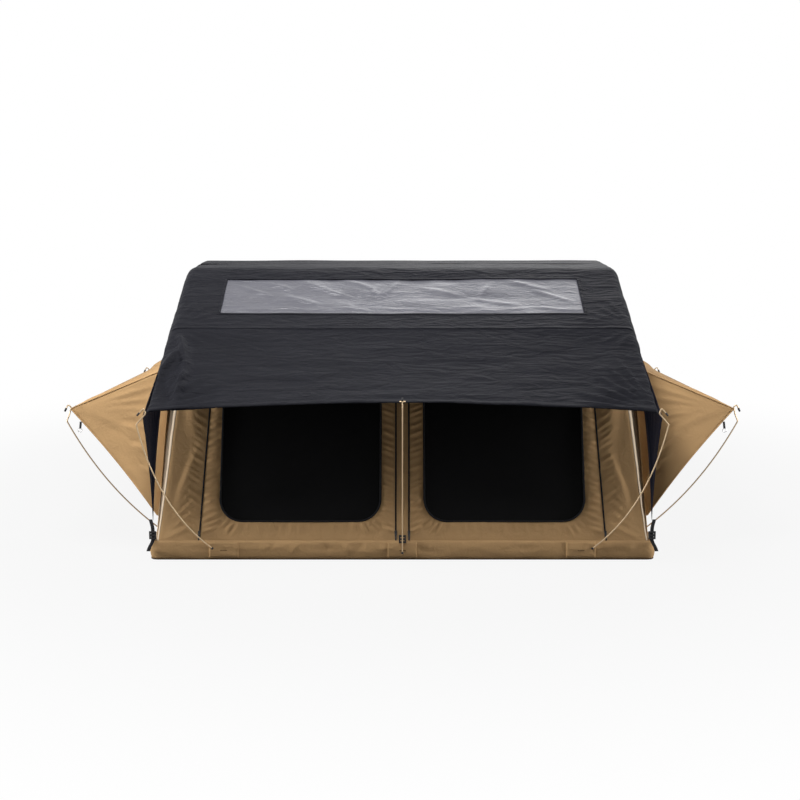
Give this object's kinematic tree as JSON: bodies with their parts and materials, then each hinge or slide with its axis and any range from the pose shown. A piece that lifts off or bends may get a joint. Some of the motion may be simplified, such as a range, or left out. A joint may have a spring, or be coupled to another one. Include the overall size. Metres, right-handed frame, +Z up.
{
  "type": "roof top tent",
  "caption": "Soft-shell folding roof top tent shown open: hinged floor, fan of bows, tan canvas body with mesh windows, dark fly with skylight and front awning, and rod-held side hoods.",
  "frame": {"origin": "middle of the floor hinge line, on the plane of the underside", "axes": "+X along the floor hinge, +Y from the entry side to the rear, +Z up"},
  "size_m": [3.0338, 2.5658, 1.2106],
  "materials": {
    "aluminium": "satin",
    "floor": "matt",
    "foam": "woven cover",
    "steel": "zinc plated",
    "spring_steel": "satin",
    "rubber": "matt",
    "tan_canvas": "ripstop canvas",
    "mesh": "fine mesh",
    "fly": "coated polyester",
    "skylight": "clear film",
    "navy": "coated polyester",
    "webbing": "webbing",
    "black_plastic": "moulded"
  },
  "bodies": {
    "rear_base": {"rear_frame": "aluminium", "rear_floor": "floor", "rear_mattress": "foam", "mounting_rails": "aluminium", "rail_bolts": "steel", "rear_hinge_plates": "aluminium", "rear_plate_bolts": "steel", "pivot_pins": "steel", "pivot_nuts": "steel", "seam_seal": "rubber", "rear_skirt": "tan_canvas", "rear_rod_sockets": "black_plastic", "rear_wall": "tan_canvas", "rear_mesh": "mesh", "rear_side_wall_left": "tan_canvas", "rear_side_wall_right": "tan_canvas", "rear_roof": "tan_canvas", "rear_fly": "fly"},
    "front_base": {"front_frame": "aluminium", "front_floor": "floor", "front_mattress": "foam", "front_hinge_plates": "aluminium", "front_plate_bolts": "steel", "front_skirt": "tan_canvas", "corner_straps": "webbing", "corner_buckles": "black_plastic", "middle_buckle": "black_plastic", "front_rod_sockets": "black_plastic", "front_wall": "tan_canvas", "left_window_mesh": "mesh", "right_window_mesh": "mesh", "door_zips": "webbing", "front_side_wall_left": "tan_canvas", "front_side_wall_right": "tan_canvas", "front_roof": "tan_canvas", "front_fly": "fly", "skylight": "skylight", "awning_gusset_left": "navy", "awning_gusset_right": "navy"},
    "front_lower_bow": {"front_lower_bow": "aluminium"},
    "front_upper_bow": {"front_upper_bow": "aluminium"},
    "rear_upper_bow": {"rear_upper_bow": "aluminium"},
    "rear_lower_bow": {"rear_lower_bow": "aluminium"},
    "awning_rod_left": {"awning_rod_left": "spring_steel"},
    "awning_rod_middle": {"awning_rod_middle": "spring_steel"},
    "awning_rod_right": {"awning_rod_right": "spring_steel"},
    "hood_rod_front_left": {"hood_rod_front_left": "spring_steel"},
    "hood_rod_front_right": {"hood_rod_front_right": "spring_steel"},
    "hood_rod_rear_left": {"hood_rod_rear_left": "spring_steel"},
    "hood_rod_rear_right": {"hood_rod_rear_right": "spring_steel"},
    "hood_front_left": {"hood_front_left": "tan_canvas"},
    "hood_front_right": {"hood_front_right": "tan_canvas"},
    "hood_rear_left": {"hood_rear_left": "tan_canvas"},
    "hood_rear_right": {"hood_rear_right": "tan_canvas"},
    "slider_outer_left": {"slider_outer_left": "black_plastic"},
    "slider_inner_left": {"slider_inner_left": "black_plastic"},
    "slider_inner_right": {"slider_inner_right": "black_plastic"},
    "slider_outer_right": {"slider_outer_right": "black_plastic"}
  },
  "joints": [
    {"name": "base_fold", "type": "hinge", "parent": "rear_base", "child": "front_base", "pos_m": [0, 0, 0.18], "axis": [-1, 0, 0], "range_deg": [0, 180], "deforming": ["front_wall", "left_window_mesh", "right_window_mesh", "door_zips", "front_side_wall_left", "front_side_wall_right", "front_roof", "front_fly", "skylight", "awning_gusset_left", "awning_gusset_right", "rear_wall", "rear_mesh", "rear_side_wall_left", "rear_side_wall_right", "rear_roof", "rear_fly", "hood_front_left", "hood_front_right", "hood_rear_left", "hood_rear_right"]},
    {"name": "front_lower_bow_turn", "type": "hinge", "parent": "rear_base", "child": "front_lower_bow", "pos_m": [0, 0, 0.18], "axis": [-1, 0, 0], "range_deg": [0, 133.31]},
    {"name": "front_upper_bow_turn", "type": "hinge", "parent": "rear_base", "child": "front_upper_bow", "pos_m": [0, 0, 0.18], "axis": [-1, 0, 0], "range_deg": [0, 102.11]},
    {"name": "rear_upper_bow_turn", "type": "hinge", "parent": "rear_base", "child": "rear_upper_bow", "pos_m": [0, 0, 0.18], "axis": [-1, 0, 0], "range_deg": [0, 77.91]},
    {"name": "rear_lower_bow_turn", "type": "hinge", "parent": "rear_base", "child": "rear_lower_bow", "pos_m": [0, 0, 0.18], "axis": [-1, 0, 0], "range_deg": [0, 46.71]},
    {"name": "awning_rod_left_stow", "type": "hinge", "parent": "front_base", "child": "awning_rod_left", "pos_m": [-0.835, -1.2148, 0.055], "axis": [0, 0.9755, 0.2202], "range_deg": [0, 111.63]},
    {"name": "awning_rod_right_stow", "type": "hinge", "parent": "front_base", "child": "awning_rod_right", "pos_m": [0.835, -1.2148, 0.055], "axis": [0, -0.9755, -0.2202], "range_deg": [0, 111.63]},
    {"name": "awning_rod_middle_stow", "type": "hinge", "parent": "front_base", "child": "awning_rod_middle", "pos_m": [0, -1.2148, 0.035], "axis": [0, 0.9785, 0.2061], "range_deg": [0, 90.01]},
    {"name": "hood_rod_front_left_stow", "type": "hinge", "parent": "front_base", "child": "hood_rod_front_left", "pos_m": [-1.1148, -0.9, 0.055], "axis": [-0.8172, -0.0207, -0.5759], "range_deg": [0, 96.46]},
    {"name": "hood_rod_rear_left_stow", "type": "hinge", "parent": "rear_base", "child": "hood_rod_rear_left", "pos_m": [-1.1148, 0.9, 0.055], "axis": [0.7439, -0.024, 0.6679], "range_deg": [0, 97.06]},
    {"name": "hood_rod_front_right_stow", "type": "hinge", "parent": "front_base", "child": "hood_rod_front_right", "pos_m": [1.1148, -0.9, 0.055], "axis": [-0.8172, 0.0207, 0.5759], "range_deg": [0, 96.46]},
    {"name": "hood_rod_rear_right_stow", "type": "hinge", "parent": "rear_base", "child": "hood_rod_rear_right", "pos_m": [1.1148, 0.9, 0.055], "axis": [0.7439, 0.024, -0.6679], "range_deg": [0, 97.06]},
    {"name": "hood_front_left_tuck", "type": "hinge", "parent": "front_base", "child": "hood_front_left", "pos_m": [-1.08, 0, 0.13], "axis": [0, 1, 0], "range_deg": [0, 180.01]},
    {"name": "hood_rear_left_tuck", "type": "hinge", "parent": "rear_base", "child": "hood_rear_left", "pos_m": [-1.08, 0, 0.13], "axis": [0, 1, 0], "range_deg": [0, 180.01]},
    {"name": "hood_front_right_tuck", "type": "hinge", "parent": "front_base", "child": "hood_front_right", "pos_m": [1.08, 0, 0.13], "axis": [0, -1, 0], "range_deg": [0, 180.01]},
    {"name": "hood_rear_right_tuck", "type": "hinge", "parent": "rear_base", "child": "hood_rear_right", "pos_m": [1.08, 0, 0.13], "axis": [0, -1, 0], "range_deg": [0, 180.01]},
    {"name": "slider_outer_left_slide", "type": "slide", "parent": "front_base", "child": "slider_outer_left", "axis": [0.0454, 0.4105, 0.9107], "range_m": [0, 0.81]},
    {"name": "slider_inner_left_slide", "type": "slide", "parent": "front_base", "child": "slider_inner_left", "axis": [0, 0.4109, 0.9117], "range_m": [0, 0.81]},
    {"name": "slider_inner_right_slide", "type": "slide", "parent": "front_base", "child": "slider_inner_right", "axis": [0, 0.4109, 0.9117], "range_m": [0, 0.81]},
    {"name": "slider_outer_right_slide", "type": "slide", "parent": "front_base", "child": "slider_outer_right", "axis": [-0.0454, 0.4105, 0.9107], "range_m": [0, 0.81]}
  ],
  "couplings": [
    {"joint": "front_lower_bow_turn", "follows": "base_fold", "ratio": 0.74056},
    {"joint": "front_upper_bow_turn", "follows": "base_fold", "ratio": 0.56722},
    {"joint": "rear_upper_bow_turn", "follows": "base_fold", "ratio": 0.43278},
    {"joint": "rear_lower_bow_turn", "follows": "base_fold", "ratio": 0.25944},
    {"joint": "awning_rod_left_stow", "follows": "base_fold", "ratio": 0.62011},
    {"joint": "awning_rod_right_stow", "follows": "base_fold", "ratio": 0.62011},
    {"joint": "awning_rod_middle_stow", "follows": "base_fold", "ratio": 0.5},
    {"joint": "hood_rod_front_left_stow", "follows": "base_fold", "ratio": 0.53583},
    {"joint": "hood_rod_rear_left_stow", "follows": "base_fold", "ratio": 0.53917},
    {"joint": "hood_rod_front_right_stow", "follows": "base_fold", "ratio": 0.53583},
    {"joint": "hood_rod_rear_right_stow", "follows": "base_fold", "ratio": 0.53917},
    {"joint": "hood_front_left_tuck", "follows": "base_fold", "ratio": 1},
    {"joint": "hood_rear_left_tuck", "follows": "base_fold", "ratio": 1},
    {"joint": "hood_front_right_tuck", "follows": "base_fold", "ratio": 1},
    {"joint": "hood_rear_right_tuck", "follows": "base_fold", "ratio": 1}
  ]
}
